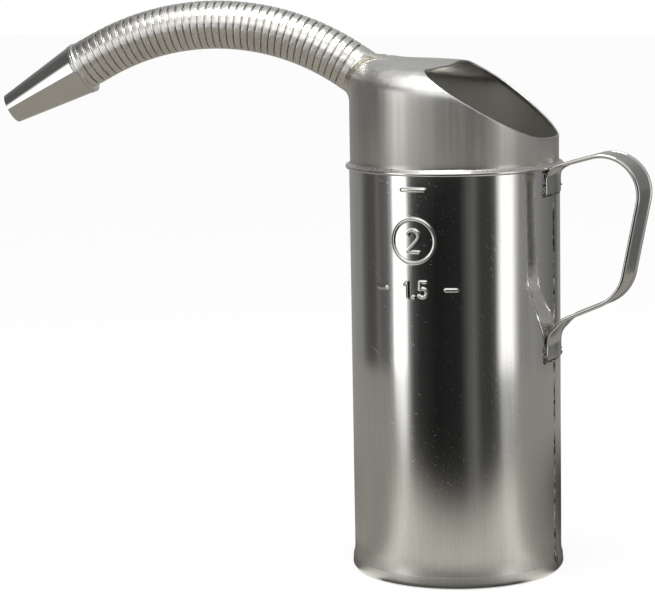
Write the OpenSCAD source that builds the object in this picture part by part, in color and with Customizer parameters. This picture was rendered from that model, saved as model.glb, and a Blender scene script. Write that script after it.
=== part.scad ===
// Oil measuring jug: a tinplate cylinder with a hood, a filling mouth, a strap handle
// and a self-supporting flexible spout of interlocked metal turns.
// The frame: origin at the centre of the foot on the resting plane, +Z up,
// +X towards the handle, so the spout points towards -X and the marks face -Y.

/* [Body] */
// Outer diameter of the cylindrical wall
body_d = 112; // [95:0.5:125]
// Thickness of the body sheet
sheet = 0.4; // [0.3:0.05:0.6]
// Height of the floor's upper face above the resting plane
floor_z = 4; // [3:0.1:8]
// Height of the fill mark above the floor; with the bore it gives two litres
fill_rise = 205.9; // [170:0.1:240]
// Height of the centre of the rolled top edge above the fill mark
bead_rise = 8.2; // [5:0.1:14]
// Thickness of the rolled top edge
bead_d = 2.4; // [2:0.1:3.2]
// How far the foot seam stands out of the wall
foot_out = 1.4; // [1.2:0.1:2.2]
// Height of the foot seam
foot_h = 6.4; // [5.5:0.1:9]
// Width of the soldered side seam
seam_w = 1.6; // [1:0.1:4]
// Height of the seam's solder on the wall
seam_t = 0.25; // [0.15:0.05:0.5]
// Clearance between sheets that are soldered or folded together
lap_gap = 0.1; // [0.05:0.01:0.15]

/* [Marks] */
// Width of the fill mark
mark_w = 14.4; // [10:0.2:24]
// Height of the fill mark
mark_h = 2; // [1.4:0.1:3]
// How far the marks are pressed out of the wall
relief = 0.5; // [0.3:0.05:0.8]
// Diameter of the ring round the capacity number
ring_d = 24.4; // [20:0.2:30]
// Width of the pressed lines and strokes
stroke_w = 1.5; // [1:0.1:2]
// Distance from the fill mark down to the ring's centre
ring_drop = 26.4; // [20:0.2:34]
// Height of the number in the ring
number_h = 11.4; // [8:0.2:13]
// Height of the lower mark as a share of the fill mark's height
lower_share = 0.75; // [0.6:0.01:0.8]
// Height of the number beside the lower mark
small_h = 8; // [6:0.2:10]

/* [Hood] */
// Thickness of the hood sheet
hood_t = 0.5; // [0.4:0.05:0.7]
// Width of the solder between the hood and the rolled edge
fillet_w = 1.4; // [0.8:0.1:2]
// How far the hood's skirt reaches below the centre of the rolled edge
skirt = 6; // [4:0.5:10]
// Height of the hood's roof above the rolled edge, on the axis
roof_rise = 51.6; // [46:0.2:58]
// Radius of the shoulder between wall and roof
shoulder_r = 16.5; // [14:0.5:18]
// Lean of the roof, higher at the spout
roof_lean = 7.6; // [5:0.1:10]
// Turn of the mouth away from the handle's plane
mouth_turn = 6; // [-12:0.5:12]
// Height of the mouth's edge line above the rolled edge, on the axis
mouth_rise = 49.8; // [46:0.2:52]
// Slope of the mouth's edge
mouth_slope = 33.4; // [28:0.2:38]
// Height of the lowest point of the mouth above the rolled edge
mouth_low = 15.2; // [12:0.1:22]
// Radius of the mouth's edge where it levels out at the rear
mouth_r = 16.5; // [12:0.5:30]
// Width of the folded hem along the mouth
hem_w = 1.7; // [1.2:0.1:2.6]
// How far the hem, folded inwards, stands off the sheet inside the hood
hem_in = 0.5; // [0.3:0.1:0.8]

/* [Spout] */
// Turn of the spout away from the handle's plane
spout_turn = 10.5; // [-15:0.5:15]
// How far the first hose groove stands out of the body's wall
spout_out = 1; // [-1:0.1:8]
// Height of the first hose groove above the rolled edge
spout_rise = 52.8; // [50:0.1:56]
// Slope of the ferrule above the horizontal
spout_slope = 33.2; // [30:0.1:40]
// Outer diameter of the hose
hose_d = 25.9; // [22:0.1:27]
// Pitch of the hose turns
pitch = 4.04; // [3.9:0.01:4.3]
// Thickness of the hose strip
strip_t = 0.45; // [0.35:0.05:0.5]
// Play along the hose between neighbouring turns
play = 0.92; // [0.8:0.01:1.1]
// Radial clearance between interlocked turns
lock_gap = 0.4; // [0.3:0.05:0.5]
// How far the hooks of neighbouring turns reach past each other
lock_bite = 0.3; // [0.2:0.05:0.6]
// Bend from one turn to the next at rest
bend_step = 1.7; // [1:0.05:1.9]
// Number of places, from the ferrule, that bend at rest; the rest lie straight
bent_turns = 36; // [20:1:39]
// Sideways sweep of the whole hose at rest
sweep = 5.4; // [-8:0.2:8]
// Length of ferrule that shows before the first groove
ferrule_show = 7; // [5:0.5:10]
// Length of ferrule held inside the hood's collar
ferrule_in = 8; // [6:0.5:12]
// Thickness of the collar's wall
collar_t = 0.7; // [0.5:0.1:1]
// Height of the solder heaped round the ferrule
heap = 5; // [3:0.5:8]

/* [Nozzle] */
// Length of the nozzle cone
nozzle_len = 46.5; // [35:0.5:60]
// Outer diameter of the nozzle's wide end
nozzle_wide = 28.7; // [27.8:0.1:30]
// Outer diameter of the nozzle's outlet
nozzle_tip = 16.5; // [12:0.1:20]
// Thickness of the nozzle sheet
nozzle_t = 0.5; // [0.4:0.05:0.8]
// How far the cone and its flange sit below the hose's axis
nozzle_drop = 1; // [0:0.1:1.2]
// Thickness of the end ring's flange inside the hose
flange_t = 0.9; // [0.6:0.1:1.1]
// Width of the flange's rim outside the hose
flange_w = 1.6; // [1.2:0.1:2.4]
// How far the flange stands out of the nozzle's wide end
flange_out = 0.2; // [0.1:0.1:0.8]

/* [Handle] */
// Width of the handle strap
handle_w = 22; // [16:0.5:28]
// Thickness of the strap's web
web_t = 0.8; // [0.6:0.1:1.2]
// Thickness of the strap's rolled edges
edge_d = 2.2; // [1.8:0.1:2.8]
// Reach of the upper bend's corner from the body wall
top_reach = 55.4; // [45:0.5:70]
// Height of the upper bend's corner above the rolled edge
top_rise = 14.9; // [12:0.1:22]
// Reach of the lower bend's corner from the body wall
low_reach = 39.1; // [32:0.5:50]
// Height between the two outer corners
grip_h = 80.8; // [70:0.5:95]
// Drop from the lower outer corner to the lower foot's corner
root_drop = 16.8; // [12:0.5:24]
// Bend radius at the upper outer corner
top_r = 20; // [10:0.5:22]
// Bend radius at the lower outer corner
low_r = 22; // [14:0.5:26]
// Bend radius above the upper foot
root_top_r = 8; // [6:0.5:10]
// Bend radius above the lower foot
root_low_r = 17; // [12:0.5:18]
// Height of each soldered foot
foot_len = 7.5; // [6:0.5:14]
// Width of solder beside and below each foot
solder_w = 2.2; // [1.5:0.1:3.5]
// Thickness of the solder on the wall
solder_t = 0.6; // [0.4:0.1:0.8]

/* [Hidden] */
$fn = 96;
eps = 0.01;
big = 400;

body_r = body_d / 2;
bore_r = body_r - sheet;
fill_z = floor_z + fill_rise;
lower_z = floor_z + lower_share * fill_rise;
ring_z = fill_z - ring_drop;
bead_z = fill_z + bead_rise;
bead_r = bead_d / 2;
bead_c = bore_r + bead_r;
bead_slit = 0.9;

// Foot seam: the base's rim is folded round the flared end of the wall
foot_r = body_r + foot_out;
flare_r = foot_r - sheet - 2 * lap_gap;
leg_r = flare_r - 2 * sheet - lap_gap;
flare_top = foot_h + 2.6;
rim_round = 0.4;
flare_low = 2 * sheet + rim_round;

// Hood
hood_r = bore_r - lap_gap;
hood_z = bead_z - skirt;
roof_z = bead_z + roof_rise;
shoulder_z = roof_z - shoulder_r;
shoulder_c = hood_r / cos(roof_lean) + 0.3 - shoulder_r;
edge_z = bead_z + mouth_rise;
edge_low = bead_z + mouth_low;
mouth_cz = edge_low + mouth_r;
mouth_cx = (edge_z - mouth_cz + mouth_r / cos(mouth_slope)) / tan(mouth_slope);
// Spout: the first groove, then a chain of hinge points one pitch apart
turns = 38;
hose_r = hose_d / 2;
band_in = hose_r - strip_t;
bed_r = band_in - 2 * lock_gap - lock_bite;
hose_bore = bed_r - strip_t;
bed_hook = band_in - lock_gap;
band = pitch - play;
bed_end = pitch + band - strip_t - play;
back = play;
function heading(k) = 180 + spout_turn + sweep * max(k, 0) / (turns + 1);
function slope(k) = spout_slope - bend_step * min(k, bent_turns);
function along(k) = [
  cos(slope(k)) * cos(heading(k)),
  cos(slope(k)) * sin(heading(k)),
  sin(slope(k))
];
groove = [
  (body_r + spout_out) * cos(180 + spout_turn),
  (body_r + spout_out) * sin(180 + spout_turn),
  bead_z + spout_rise
];
first_hinge = groove + (play / 2 + back) * along(0);
hinges = [for (k = 1, p = first_hinge; k <= turns + 1; p = p + pitch * along(k), k = k + 1) p];
ferrule_z = band + play / 2;
collar_top = -play / 2 - ferrule_show;
collar_bore = hose_r + lap_gap;
collar_r = collar_bore + collar_t;

// Handle: corner points in the plane of the handle, joined by bends; left is off > 0
foot_t = 1.5 * web_t;
root_x = body_r + lap_gap + foot_t / 2;
p_up = [root_x, bead_z - lap_gap];
p_top = [body_r + top_reach, bead_z + top_rise];
p_low = [body_r + low_reach, p_top[1] - grip_h];
p_down = [root_x, p_low[1] - root_drop];
corners = [p_up - [0, big], p_up, p_top, p_low, p_down, p_down - [0, big]];
radii = [0, root_top_r, top_r, low_r, root_low_r, 0];
bends = [1, 2, 3, 4];
bend_steps = 14;
function unit(v) = v / norm(v);
function left_of(v) = [-v[1], v[0]];
function dir_in(i) = unit(corners[i] - corners[i - 1]);
function dir_out(i) = unit(corners[i + 1] - corners[i]);
function turn_side(i) = sign(dir_out(i) * left_of(dir_in(i)));
function turn_angle(i) = acos(dir_in(i) * dir_out(i));
function trim(i) = radii[i] * tan(turn_angle(i) / 2);
function bend_from(i) = corners[i] - trim(i) * dir_in(i);
function bend_c(i) = bend_from(i) + radii[i] * turn_side(i) * left_of(dir_in(i));
function bend_point(i, k, off) =
  let (from = -turn_side(i) * left_of(dir_in(i)))
  let (a = turn_side(i) * turn_angle(i) * k / bend_steps)
  bend_c(i) + (radii[i] - off * turn_side(i)) * (cos(a) * from + sin(a) * left_of(from));
up_foot_top = bend_from(1)[1];
up_foot_z = up_foot_top - foot_len;
low_foot_top = bend_point(4, bend_steps, 0)[1];
low_foot_z = low_foot_top - foot_len;
function path_side(off) = concat(
  [[root_x - off, up_foot_z]],
  [for (i = bends) for (k = [0:bend_steps]) bend_point(i, k, off)],
  [[root_x + off, low_foot_z]]
);
function reversed(list) = [for (i = [len(list) - 1:-1:0]) list[i]];

// Pressed marks, drawn flat with their centre at the origin
module stroke(a, b) {
  d = b - a;
  translate(a) rotate(atan2(d[1], d[0])) translate([0, -stroke_w / 2]) square([norm(d), stroke_w]);
  translate(a) circle(d = stroke_w);
  translate(b) circle(d = stroke_w);
}

module arc_stroke(c, r, a0, a1) {
  reach = 3 * r;
  mid = (a0 + a1) / 2;
  translate(c) intersection() {
    difference() {
      circle(r = r + stroke_w / 2);
      circle(r = r - stroke_w / 2);
    }
    polygon([
      [0, 0],
      reach * [cos(a0), sin(a0)],
      reach * [cos((a0 + mid) / 2), sin((a0 + mid) / 2)],
      reach * [cos(mid), sin(mid)],
      reach * [cos((a1 + mid) / 2), sin((a1 + mid) / 2)],
      reach * [cos(a1), sin(a1)]
    ]);
  }
  for (a = [a0, a1]) translate(c + r * [cos(a), sin(a)]) circle(d = stroke_w);
}

module digit_two(h) {
  r = 0.27 * h;
  c = [0, h / 2 - r];
  arc_stroke(c, r, -38, 165);
  stroke(c + r * [cos(-38), sin(-38)], [-r, -h / 2]);
  stroke([-r, -h / 2], [r, -h / 2]);
}

module digit_one(h) {
  stroke([0, -h / 2], [0, h / 2]);
  stroke([0, h / 2], [-0.2 * h, 0.3 * h]);
}

module digit_five(h) {
  r = 0.29 * h;
  c = [0, -h / 2 + r];
  arc_stroke(c, r, -140, 125);
  stroke(c + r * [cos(125), sin(125)], [-0.5 * r, h / 2]);
  stroke([-0.5 * r, h / 2], [0.8 * r, h / 2]);
}

module level_bar() {
  straight = mark_w - mark_h;
  square([straight, mark_h], center = true);
  for (s = [-1, 1]) translate([s * straight / 2, 0]) circle(d = mark_h);
}

module on_front(z) {
  translate([0, 0, z]) rotate([90, 0, 0]) linear_extrude(body_r + relief + 2) children();
}

module marks() {
  intersection() {
    union() {
      on_front(fill_z) level_bar();
      on_front(ring_z) difference() {
        circle(d = ring_d);
        circle(d = ring_d - 2 * stroke_w);
      }
      on_front(ring_z) digit_two(number_h);
      on_front(lower_z) {
        translate([-0.45 * small_h, 0]) digit_one(small_h);
        translate([0, -small_h / 2]) circle(d = 1.2 * stroke_w);
        translate([0.6 * small_h, 0]) digit_five(small_h);
        for (s = [-1, 1]) translate([s * 2.1 * small_h - mark_h / 2, -mark_h / 2]) square([mark_w / 2, mark_h]);
      }
    }
    translate([0, 0, floor_z]) difference() {
      cylinder(r = body_r + relief, h = bead_z);
      translate([0, 0, -1]) cylinder(r = body_r - sheet / 2, h = bead_z + 2);
    }
  }
}

// The wall: flared into the foot seam, rolled outwards at the top
module body_shell() {
  color("gainsboro") {
    rotate_extrude() {
      translate([bore_r, flare_top]) square([sheet, bead_z - flare_top]);
      polygon([
        [bore_r, flare_top + eps],
        [body_r, flare_top + eps],
        [flare_r, foot_h],
        [flare_r, flare_low],
        [flare_r - sheet, flare_low],
        [flare_r - sheet, foot_h - sheet / 2]
      ]);
      difference() {
        translate([bead_c, bead_z]) circle(r = bead_r);
        translate([bead_c, bead_z]) circle(r = bead_r - sheet);
        translate([body_r + eps, bead_z - bead_d]) square([bead_slit, bead_d]);
      }
    }
    marks();
  }
}

// Solder along the lap of the wall, left out under the handle's feet
module side_seam() {
  color("darkgray") intersection() {
    difference() {
      cylinder(r = body_r + seam_t, h = bead_z);
      translate([0, 0, -1]) cylinder(r = body_r, h = bead_z + 2);
    }
    union() {
      translate([0, -seam_w / 2, flare_top + lap_gap])
        cube([big, seam_w, low_foot_z - solder_w - lap_gap - flare_top - lap_gap]);
      translate([0, -seam_w / 2, low_foot_top + solder_w + lap_gap])
        cube([big, seam_w, up_foot_z - low_foot_top - 2 * solder_w - 2 * lap_gap]);
    }
  }
}

// Floor with its rim folded round the wall's flare; the fold is the foot
module base_plate() {
  color("silver") rotate_extrude() {
    translate([0, floor_z - sheet]) square([leg_r + sheet, sheet]);
    translate([leg_r, 0]) square([sheet, floor_z]);
    polygon([
      [leg_r, rim_round],
      [leg_r + rim_round / 3, 0],
      [foot_r - rim_round, 0],
      [foot_r - rim_round / 3, rim_round / 3],
      [foot_r, rim_round],
      [foot_r, foot_h],
      [foot_r - sheet, foot_h],
      [foot_r - sheet, rim_round],
      [foot_r - sheet - rim_round / 2, sheet],
      [leg_r + sheet, sheet]
    ]);
  }
}

// Hood: an upright wall with a leaning rounded roof, grown by g and reaching lower by d
module roof_frame() {
  rotate(mouth_turn) translate([0, 0, shoulder_z]) rotate([0, roof_lean, 0]) children();
}

module hood_solid(g, d = 0) {
  intersection() {
    translate([0, 0, hood_z - d]) cylinder(r = hood_r + g, h = 2 * roof_rise + d);
    roof_frame() union() {
      translate([-big / 2, -big / 2, -big]) cube([big, big, big]);
      rotate_extrude() {
        square([shoulder_c, shoulder_r + g]);
        intersection() {
          translate([shoulder_c, 0]) circle(r = shoulder_r + g);
          square(body_d);
        }
      }
    }
  }
}

module spout_frame() {
  translate(groove) rotate([0, 90 - spout_slope, 180 + spout_turn]) children();
}

module collar_solid(g) {
  spout_frame() translate([0, 0, collar_top - ferrule_in - shoulder_r])
    cylinder(r = collar_r + g, h = ferrule_in + shoulder_r + g);
}

// Side view of what is cut away for the mouth, lowered by d
module mouth_outline(d) {
  translate([0, -d]) {
    polygon([
      [-body_d, edge_z + body_d * tan(mouth_slope)],
      [mouth_cx - mouth_r * sin(mouth_slope), mouth_cz - mouth_r * cos(mouth_slope)],
      [mouth_cx, mouth_cz],
      [mouth_cx, big],
      [-body_d, big]
    ]);
    translate([mouth_cx, mouth_cz]) circle(r = mouth_r);
    translate([mouth_cx, edge_low]) square([body_d, big]);
  }
}

module mouth_void(d) {
  rotate(mouth_turn) rotate([90, 0, 0]) linear_extrude(big, center = true) mouth_outline(d);
}

module hood() {
  color("darkgray") {
    difference() {
      union() {
        hood_solid(0);
        collar_solid(0);
      }
      hood_solid(-hood_t, 1);
      spout_frame() translate([0, 0, -big / 4]) cylinder(r = collar_bore, h = big / 2);
      mouth_void(0);
    }
    intersection() {
      difference() {
        hood_solid(-hood_t / 2);
        hood_solid(-hood_t - hem_in);
        mouth_void(0);
      }
      mouth_void(hem_w);
    }
  }
}

// Solder in the corner between the hood's wall and the rolled edge
module hood_solder() {
  r0 = hood_r + lap_gap / 2;
  z0 = bead_z + bead_r;
  color("lightgray") rotate_extrude()
    polygon([[r0, z0 + lap_gap / 2], [r0 + fillet_w, z0 + lap_gap / 2], [r0, z0 + fillet_w]]);
}

// Handle: a strap along straights and bends, drawn from the side with thickness t
module handle_path(t) {
  polygon(concat(path_side(t / 2), reversed(path_side(-t / 2))));
}

module wall_shell(t0, t1) {
  difference() {
    cylinder(r = body_r + t1, h = bead_z);
    translate([0, 0, -1]) cylinder(r = body_r + t0, h = bead_z + 2);
  }
}

module foot_block(z, grow) {
  translate([0, -handle_w / 2 - grow, z - grow]) cube([big, handle_w + 2 * grow, foot_len + 2 * grow]);
}

module handle() {
  side = (handle_w - edge_d) / 2;
  color("silver") {
    rotate([90, 0, 0]) linear_extrude(handle_w - edge_d, center = true) handle_path(web_t);
    for (s = [-1, 1]) translate([0, s * side, 0])
      rotate([90, 0, 0]) linear_extrude(edge_d, center = true) handle_path(edge_d);
    for (z = [up_foot_z, low_foot_z]) intersection() {
      wall_shell(lap_gap, lap_gap + foot_t);
      foot_block(z, 0);
    }
  }
}

// Solder round a foot: beads of metal along its sides and lower edge
module foot_solder(z) {
  half = handle_w / 2;
  color("dimgray") difference() {
    intersection() {
      wall_shell(0, solder_t);
      rotate([90, 0, 90]) linear_extrude(big) {
        translate([-half - solder_w, z - solder_w]) square([handle_w + 2 * solder_w, foot_len + solder_w]);
        for (s = [-1, 1]) {
          translate([s * (half + solder_w / 2), z + foot_len]) circle(r = solder_w / 2);
          translate([s * (half + solder_w), z + 0.35 * foot_len]) circle(r = solder_w / 2);
          translate([s * half / 2, z - solder_w]) circle(r = 0.7 * solder_w);
        }
      }
    }
    foot_block(z, lap_gap);
    translate([0, 0, z + foot_len]) foot_block(0, lap_gap);
  }
}

module handle_upper_solder() {
  foot_solder(up_foot_z);
}

module handle_lower_solder() {
  foot_solder(low_foot_z);
}

// Hose: each turn is a strip folded to an S, hooked into the turn before it
module strip_out() {
  translate([band_in, 0]) square([strip_t, band]);
}

module strip_bed() {
  translate([hose_bore, band - strip_t]) square([hose_r - hose_bore, strip_t]);
  translate([hose_bore, band - strip_t]) square([strip_t, bed_end - band + strip_t]);
  translate([hose_bore, bed_end - strip_t]) square([bed_hook - hose_bore, strip_t]);
}

module strip_hook() {
  translate([bed_r + lock_gap, 0]) square([hose_r - bed_r - lock_gap, strip_t]);
}

module hose_link(k) {
  origin = hinges[k - 1] - back * along(k);
  translate(origin) rotate([0, 90 - slope(k), heading(k)]) children();
}

module hose_turn(k) {
  color(k % 2 == 0 ? "silver" : "lightgray") hose_link(k) rotate_extrude() {
    strip_out();
    strip_hook();
    strip_bed();
  }
}

// Ferrule: soldered into the hood's collar, its outer end holds the first turn
module spout_ferrule() {
  back_end = collar_top - ferrule_in;
  color("silver") spout_frame() rotate_extrude() {
    translate([band_in, back_end]) square([strip_t, -play / 2 - back_end]);
    translate([0, -ferrule_z]) strip_bed();
  }
}

// Solder fillet on the upper side of the ferrule
module spout_solder() {
  color("khaki") difference() {
    spout_frame() translate([-1, 0, collar_top - heap]) intersection() {
      cylinder(r1 = collar_r + heap, r2 = hose_r, h = 2 * heap);
      translate([-big, -big / 2, -1]) cube([big + 2, big, 3 * heap]);
    }
    spout_frame() translate([0, 0, -big / 4]) cylinder(r = hose_r + lap_gap / 2, h = big / 2);
    hood_solid(lap_gap / 2);
    collar_solid(lap_gap / 2);
  }
}

// End ring: hooked onto the last turn, with a flange that carries the nozzle
module end_flange() {
  flange_r = nozzle_wide / 2 + flange_out;
  difference() {
    translate([nozzle_drop, 0, pitch - flange_w]) cylinder(r = flange_r, h = flange_w);
    translate([0, 0, pitch - flange_w - 1]) cylinder(r = band_in, h = flange_w - flange_t + 1);
    cylinder(r = hose_bore, h = pitch + 1);
  }
}

module end_ring() {
  color("gainsboro") hose_link(turns + 1) {
    rotate_extrude() {
      translate([band_in, 0]) square([strip_t, pitch]);
      strip_hook();
    }
    end_flange();
  }
}

module nozzle() {
  w = nozzle_wide / 2;
  t = nozzle_tip / 2;
  color("silver") hose_link(turns + 1) translate([nozzle_drop, 0, pitch]) rotate_extrude()
    polygon([[w - nozzle_t, 0], [w, 0], [t, nozzle_len], [t - nozzle_t, nozzle_len]]);
}

body_shell();
side_seam();
base_plate();
hood();
hood_solder();
handle();
handle_upper_solder();
handle_lower_solder();
spout_ferrule();
spout_solder();
hose_turn(1);  // turn_01
hose_turn(2);  // turn_02
hose_turn(3);  // turn_03
hose_turn(4);  // turn_04
hose_turn(5);  // turn_05
hose_turn(6);  // turn_06
hose_turn(7);  // turn_07
hose_turn(8);  // turn_08
hose_turn(9);  // turn_09
hose_turn(10);  // turn_10
hose_turn(11);  // turn_11
hose_turn(12);  // turn_12
hose_turn(13);  // turn_13
hose_turn(14);  // turn_14
hose_turn(15);  // turn_15
hose_turn(16);  // turn_16
hose_turn(17);  // turn_17
hose_turn(18);  // turn_18
hose_turn(19);  // turn_19
hose_turn(20);  // turn_20
hose_turn(21);  // turn_21
hose_turn(22);  // turn_22
hose_turn(23);  // turn_23
hose_turn(24);  // turn_24
hose_turn(25);  // turn_25
hose_turn(26);  // turn_26
hose_turn(27);  // turn_27
hose_turn(28);  // turn_28
hose_turn(29);  // turn_29
hose_turn(30);  // turn_30
hose_turn(31);  // turn_31
hose_turn(32);  // turn_32
hose_turn(33);  // turn_33
hose_turn(34);  // turn_34
hose_turn(35);  // turn_35
hose_turn(36);  // turn_36
hose_turn(37);  // turn_37
hose_turn(38);  // turn_38
end_ring();
nozzle();
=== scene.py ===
import math

import bpy
import numpy as np
from mathutils import Matrix, Vector

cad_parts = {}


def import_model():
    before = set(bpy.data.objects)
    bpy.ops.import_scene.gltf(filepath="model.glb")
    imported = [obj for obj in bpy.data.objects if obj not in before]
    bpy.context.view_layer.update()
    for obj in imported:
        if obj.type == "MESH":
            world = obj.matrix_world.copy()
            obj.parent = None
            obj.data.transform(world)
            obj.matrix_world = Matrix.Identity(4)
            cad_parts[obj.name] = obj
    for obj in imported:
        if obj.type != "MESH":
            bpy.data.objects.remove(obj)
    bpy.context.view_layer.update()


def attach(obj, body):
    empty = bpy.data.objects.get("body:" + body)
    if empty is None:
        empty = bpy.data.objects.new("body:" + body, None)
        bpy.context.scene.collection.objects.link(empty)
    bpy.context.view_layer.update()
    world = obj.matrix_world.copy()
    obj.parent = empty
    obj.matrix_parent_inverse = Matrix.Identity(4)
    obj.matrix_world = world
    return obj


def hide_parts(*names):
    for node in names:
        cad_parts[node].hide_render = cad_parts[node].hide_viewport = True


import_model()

# All sizes are in millimetres and degrees; MM turns them into Blender's metres.
MM = 0.001

# Body
BODY_R = 56.0
SHEET = 0.4
BORE_R = BODY_R - SHEET
FLOOR_Z = 4.0
FILL_Z = 209.9
BEAD_Z = 218.1
BEAD_R = 1.2
FOOT_R = 57.4
FOOT_H = 6.4
FLARE_R = 56.8
FLARE_TOP = 13.5

# Pressed marks
MARK_W = 14.4
MARK_H = 2.0
RELIEF = 0.46
RING_D = 24.4
STROKE = 1.5
RING_Z = FILL_Z - 26.4
NUMBER_H = 11.4
LOWER_Z = FLOOR_Z + 0.75 * (FILL_Z - FLOOR_Z)
SMALL_H = 8.0

# Hood
HOOD_R = 55.5
HOOD_T = 0.5
HOOD_LOW = BEAD_Z - 6.0
SHOULDER_R = 16.5
ROOF_LEAN = 7.6
MOUTH_TURN = 6.0
SHOULDER_Z = BEAD_Z + 51.6 - SHOULDER_R
SHOULDER_C = HOOD_R / math.cos(math.radians(ROOF_LEAN)) + 0.3 - SHOULDER_R
MOUTH_SLOPE = 33.4
MOUTH_R = 16.5
EDGE_Z = BEAD_Z + 49.8
EDGE_LOW = BEAD_Z + 15.2
MOUTH_CZ = EDGE_LOW + MOUTH_R
MOUTH_CX = (EDGE_Z - MOUTH_CZ + MOUTH_R / math.cos(math.radians(MOUTH_SLOPE))) / math.tan(
    math.radians(MOUTH_SLOPE))

# Spout
TURNS = 38
PITCH = 4.04
PLAY = 0.92
HOSE_R = 12.95
STRIP = 0.45
BAND = PITCH - PLAY
BAND_IN = HOSE_R - STRIP
BED_R = 11.4
BORE = BED_R - STRIP
BED_END = PITCH + BAND - STRIP - PLAY
BED_HOOK = 12.1
HOOK_IN = 11.8
SPOUT_TURN = 10.5
SPOUT_SLOPE = 33.2
BEND_STEP = 1.7
BENT_TURNS = 36
SWEEP = 5.4
GROOVE_R = BODY_R + 1.0
GROOVE_Z = BEAD_Z + 52.8
FERRULE_SHOW = 7.0
FERRULE_IN = 8.0
NOZZLE_LEN = 46.5
NOZZLE_WIDE = 14.35
NOZZLE_TIP = 8.25
NOZZLE_T = 0.5
NOZZLE_DROP = 1.0
FLANGE_T = 0.9
FLANGE_W = 1.6
FLANGE_R = 14.55

# Handle
STRAP_W = 22.0
WEB_T = 0.8
EDGE_R = 1.1
ROOT_X = BODY_R + 0.7
CORNERS = [(ROOT_X, 218.0), (111.4, 233.0), (95.1, 152.2), (ROOT_X, 135.4)]
BENDS = [8.0, 20.0, 22.0, 17.0]
FOOT_LEN = 7.5


# Small vector helpers

def unit(v):
    return v / np.linalg.norm(v)


def wobble(points, size, seed):
    """Smooth noise of about -1 to 1 at each point, with bumps of the given size."""
    rng = np.random.RandomState(seed)
    total = np.zeros(len(points))
    for _ in range(9):
        wave = rng.normal(size=3)
        wave *= 2 * math.pi / (size * rng.uniform(0.7, 1.9) * np.linalg.norm(wave))
        total += np.cos(points @ wave + rng.uniform(0, 2 * math.pi))
    return total / 3


def grid_faces(rows, cols, wrap_rows=False, wrap_cols=False):
    """Quads over a grid of points stored row by row."""
    r = np.arange(rows if wrap_rows else rows - 1)
    c = np.arange(cols if wrap_cols else cols - 1)
    rr, cc = np.meshgrid(r, c, indexing="ij")
    up, right = (rr + 1) % rows, (cc + 1) % cols
    quads = [rr * cols + cc, rr * cols + right, up * cols + right, up * cols + cc]
    return np.stack(quads, -1).reshape(-1, 4)


def new_object(name, points, faces, smooth=True):
    """A mesh object from points in millimetres."""
    mesh = bpy.data.meshes.new(name)
    mesh.from_pydata((np.asarray(points) * MM).tolist(), [], [list(map(int, f)) for f in faces])
    mesh.update()
    mesh.shade_smooth() if smooth else mesh.shade_flat()
    obj = bpy.data.objects.new(name, mesh)
    bpy.context.scene.collection.objects.link(obj)
    return obj


def sharpen(obj, angle):
    """Marks the edges that bend more than angle as sharp."""
    obj.data.set_sharp_from_angle(angle=math.radians(angle))


def rounded(points, radius, steps=4):
    """A closed outline with its corners rounded to radius, or to a radius for each corner."""
    pts = [np.array(p, float) for p in points]
    radii = radius if hasattr(radius, "__len__") else [radius] * len(pts)
    out = []
    for i, p in enumerate(pts):
        a, b = unit(pts[i - 1] - p), unit(pts[(i + 1) % len(pts)] - p)
        half = math.acos(np.clip(a @ b, -1, 1)) / 2
        if radii[i] <= 0 or half > 1.55:
            out.append(p)
            continue
        reach = min(radii[i] / math.tan(half), 0.49 * np.linalg.norm(pts[i - 1] - p),
                    0.49 * np.linalg.norm(pts[(i + 1) % len(pts)] - p))
        start, end = p + reach * a, p + reach * b
        for k in range(steps + 1):
            t = k / steps
            out.append((1 - t) ** 2 * start + 2 * t * (1 - t) * p + t ** 2 * end)
    return out


def lathe(outline, segments):
    """A closed outline of (radius, height) turned about Z."""
    outline = np.array(outline)
    turn = np.arange(segments) * 2 * math.pi / segments
    ring = np.stack([np.cos(turn), np.sin(turn)], -1)
    xy = outline[:, None, :1] * ring[None]
    z = np.repeat(outline[:, 1:2], segments, 1)[..., None]
    points = np.concatenate([xy, z], -1).reshape(-1, 3)
    faces = grid_faces(len(outline), segments, wrap_rows=True, wrap_cols=True)
    area = np.sum(outline[:, 0] * np.roll(outline[:, 1], -1) - np.roll(outline[:, 0], -1) * outline[:, 1])
    return points, faces[:, ::-1] if area > 0 else faces


def closed_patch(top, bottom, rows, cols, keep):
    """Top and bottom layers of a grid, joined round the edge of the quads that are kept."""
    quads = grid_faces(rows, cols)[keep.reshape(-1)]
    count = rows * cols
    faces = [tuple(q) for q in quads] + [tuple(q[::-1] + count) for q in quads]
    edges = {}
    for q in quads:
        for i in range(4):
            edges[(q[i], q[(i + 1) % 4])] = True
    for a, b in edges:
        if (b, a) not in edges:
            faces.append((b, a, a + count, b + count))
    used = sorted({i for f in faces for i in f})
    place = {old: new for new, old in enumerate(used)}
    points = np.vstack([top, bottom])[used]
    return points, [[place[i] for i in f] for f in faces]


# Frames along the spout

def heading(k):
    return math.radians(180 + SPOUT_TURN + SWEEP * max(k, 0) / (TURNS + 1))


def slope(k):
    return math.radians(SPOUT_SLOPE - BEND_STEP * min(k, BENT_TURNS))


def along(k):
    e, a = slope(k), heading(k)
    return np.array([math.cos(e) * math.cos(a), math.cos(e) * math.sin(a), math.sin(e)])


def hose_axes(k):
    """Columns: down, across and along the hose at turn k."""
    e, a = slope(k), heading(k)
    down = np.array([math.sin(e) * math.cos(a), math.sin(e) * math.sin(a), -math.cos(e)])
    across = np.array([-math.sin(a), math.cos(a), 0.0])
    return np.stack([down, across, along(k)], -1)


GROOVE = np.array([GROOVE_R * math.cos(heading(0)), GROOVE_R * math.sin(heading(0)), GROOVE_Z])


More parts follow.
